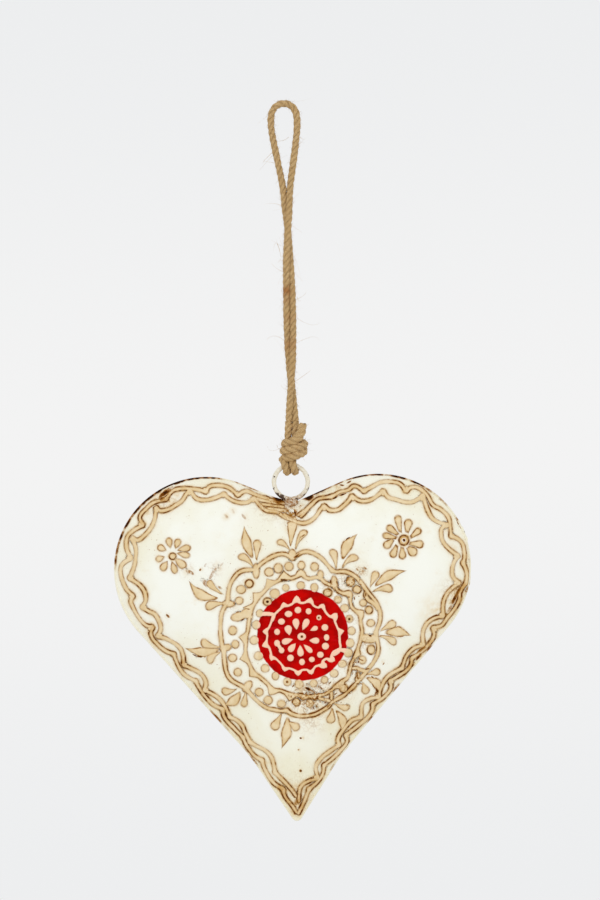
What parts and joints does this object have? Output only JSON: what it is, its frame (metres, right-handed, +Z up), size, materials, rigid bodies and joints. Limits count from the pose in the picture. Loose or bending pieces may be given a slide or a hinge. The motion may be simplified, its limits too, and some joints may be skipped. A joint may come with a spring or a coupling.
{
  "type": "hanging heart ornament",
  "caption": "Hollow tin heart, painted cream with a red centre and raised piped ornament, that hangs by a wire ring from a knotted jute cord with a loop",
  "frame": {"origin": "hook's seat: the inside of the top of the cord loop, on the middle line", "axes": "+Z up, along the hanging cord; the heart's front faces -Y; +X to the right as seen from the front"},
  "size_m": [0.1792, 0.0248, 0.3607],
  "materials": {
    "tin_paint": "satin cream paint with a brown antique wash and a red centre",
    "rim_paint": "cream paint over solder, browned by the wash",
    "ring_paint": "cream paint, chipped to dark metal in places",
    "paste": "piped paste under tan wash",
    "paste_on_red": "piped paste left peach where the red paint goes round it",
    "jute": "hairy three-strand twine"
  },
  "bodies": {
    "cord": {"cord_loop": "jute"},
    "knot": {"cord_neck": "jute", "cord_knot": "jute"},
    "turns": {"ring_turns": "jute"},
    "heart": {"front_shell": "tin_paint", "back_shell": "tin_paint", "seam_bead": "rim_paint", "hanging_ring": "ring_paint", "ring_braze": "rim_paint", "border_outer_line": "paste", "border_inner_line": "paste", "medallion_outline": "paste", "toothed_line": "paste", "star_line": "paste_on_red", "outer_dots": "paste", "inner_dots": "paste", "star_dots": "paste_on_red", "centre_petals": "paste_on_red", "centre_eye": "paste_on_red", "spray_01": "paste", "spray_02": "paste", "spray_03": "paste", "spray_04": "paste", "spray_05": "paste", "spray_06": "paste", "spray_07": "paste", "spray_08": "paste", "spray_09": "paste", "spray_10": "paste", "spray_11": "paste", "left_flower_petals": "paste", "left_flower_eye": "paste", "right_flower_petals": "paste", "right_flower_eye": "paste"}
  },
  "joints": [
    {"name": "twist", "type": "hinge", "parent": "cord", "child": "knot", "pos_m": [0, 0, -0.1577], "axis": [0, 0, 1], "range_deg": [-90, 90]},
    {"name": "rock", "type": "hinge", "parent": "knot", "child": "turns", "pos_m": [0, 0, -0.1794], "axis": [1, 0, 0], "range_deg": [-45, 45]},
    {"name": "sway", "type": "hinge", "parent": "turns", "child": "heart", "pos_m": [0, 0, -0.18763], "axis": [0, 1, 0], "range_deg": [-30, 30]}
  ]
}
